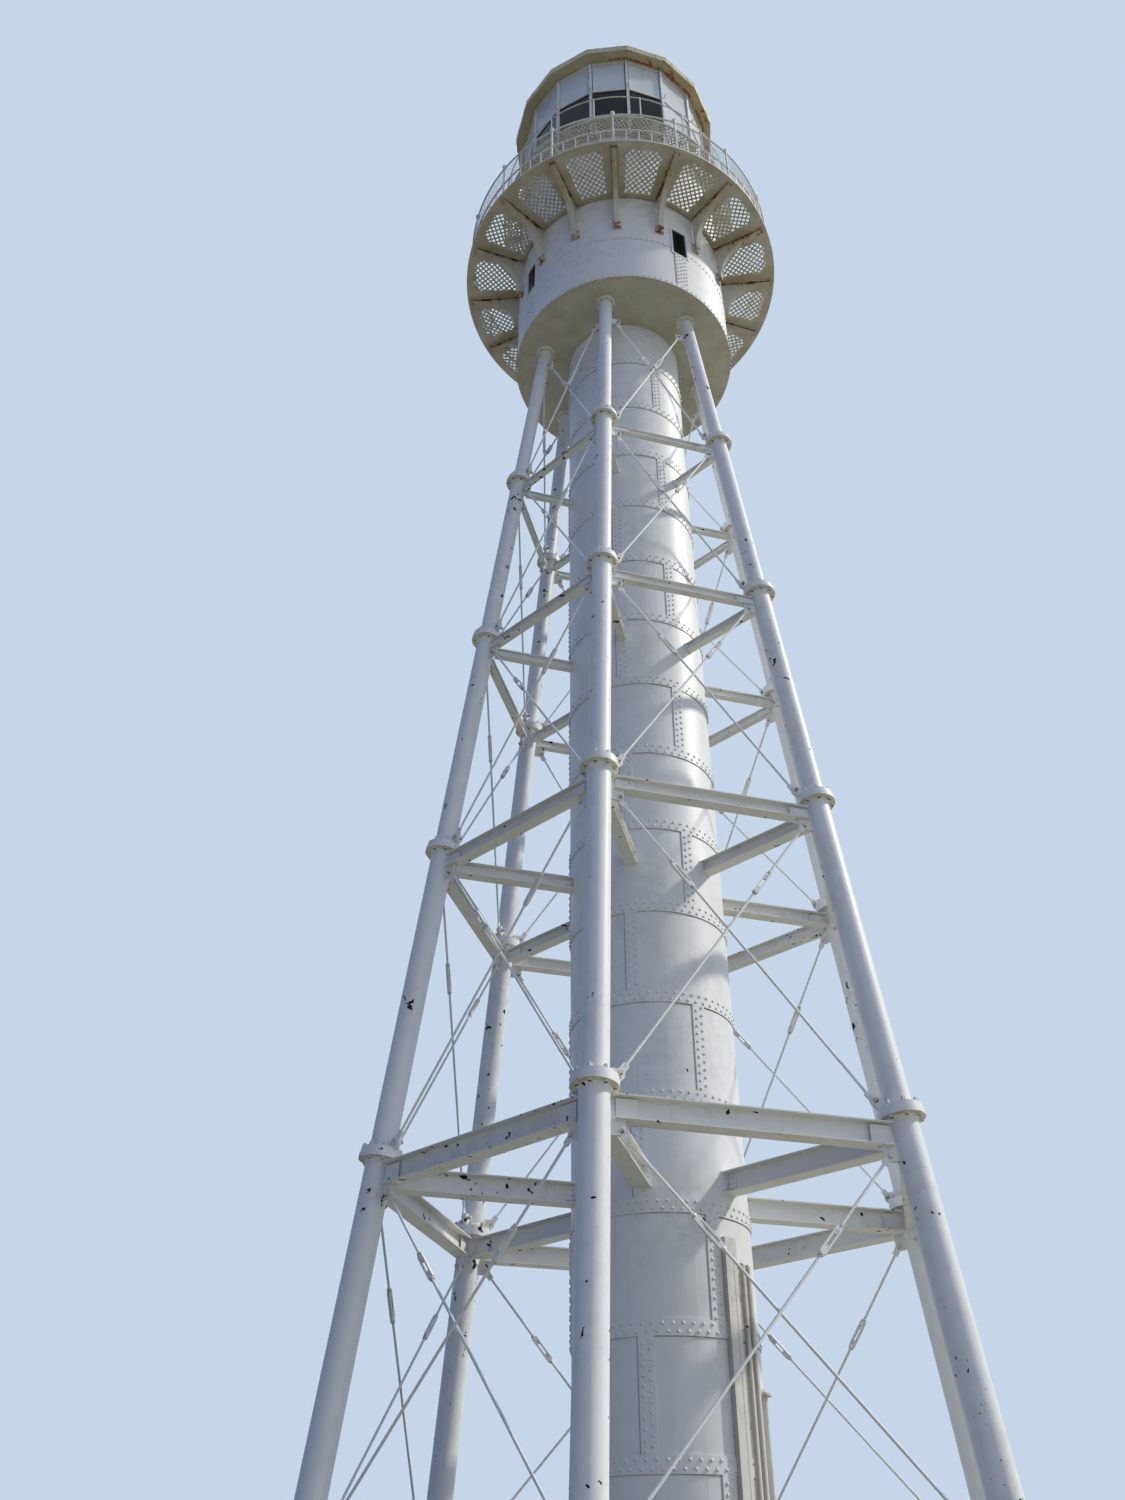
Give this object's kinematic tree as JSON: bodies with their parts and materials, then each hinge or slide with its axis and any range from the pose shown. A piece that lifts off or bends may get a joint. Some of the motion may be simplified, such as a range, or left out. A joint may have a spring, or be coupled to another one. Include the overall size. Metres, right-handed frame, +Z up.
{
  "type": "lighthouse",
  "caption": "Iron skeleton lighthouse: raking braced columns round a riveted stair tube, carrying a round watch room, bracketed gallery and many-sided lantern.",
  "frame": {"origin": "on the tower's axis at ground level", "axes": "+Z up along the tower's axis; column 1 stands towards -Y; +X to the right of it seen from that side"},
  "size_m": [7.0542, 8.0278, 28.7035],
  "materials": {
    "white_paint": "gloss white paint on iron, chipped and rust-stained at the joints",
    "cast_paint": "white paint on cast iron, worn at the edges",
    "under_paint": "cream-white paint on ironwork seen from below, rust at the joints",
    "door_paint": "grey-white paint on iron",
    "gutter_paint": "weathered cream paint with orange-brown rust runs",
    "roof_paint": "weathered white paint on sheet",
    "pipe_paint": "rusting painted steel pipe",
    "window_glass": "dark window glass"
  },
  "bodies": {
    "root": {"foot_castings": "cast_paint", "columns_tier_1": "white_paint", "columns_tier_2": "white_paint", "columns_tier_3": "white_paint", "columns_tier_4": "white_paint", "columns_tier_5": "white_paint", "ring_girders_1": "white_paint", "ring_girders_2": "white_paint", "ring_girders_3": "white_paint", "ring_girders_4": "white_paint", "radial_struts_1": "white_paint", "radial_struts_2": "white_paint", "radial_struts_3": "white_paint", "radial_struts_4": "white_paint", "tie_rods_1": "white_paint", "tie_rods_2": "white_paint", "tie_rods_3": "white_paint", "tie_rods_4": "white_paint", "tie_rods_5": "white_paint", "tube_wall_lower": "white_paint", "tube_wall_middle": "white_paint", "tube_wall_upper": "white_paint", "tube_straps": "white_paint", "entry_door_frame": "door_paint", "entry_door": "door_paint", "service_pipes": "pipe_paint", "watch_room_floor": "under_paint", "drum_wall_lower": "white_paint", "drum_wall_upper": "white_paint", "drum_straps": "white_paint", "drum_window_frames": "white_paint", "drum_window_panes": "window_glass", "drum_head_ring": "white_paint", "gallery_brackets": "under_paint", "gallery_deck": "under_paint", "lantern_floor": "under_paint", "gallery_posts": "white_paint", "gallery_rails": "white_paint", "lantern_base_wall": "white_paint", "gallery_door": "door_paint", "gallery_door_frame": "door_paint", "catwalk_deck": "under_paint", "catwalk_brackets": "under_paint", "catwalk_rail": "white_paint", "lantern_mullions": "white_paint", "lantern_bars": "white_paint", "lantern_glass": "window_glass", "lantern_blanks": "white_paint", "lantern_gutter": "gutter_paint", "lantern_roof": "roof_paint", "ventilator": "roof_paint"}
  },
  "joints": []
}
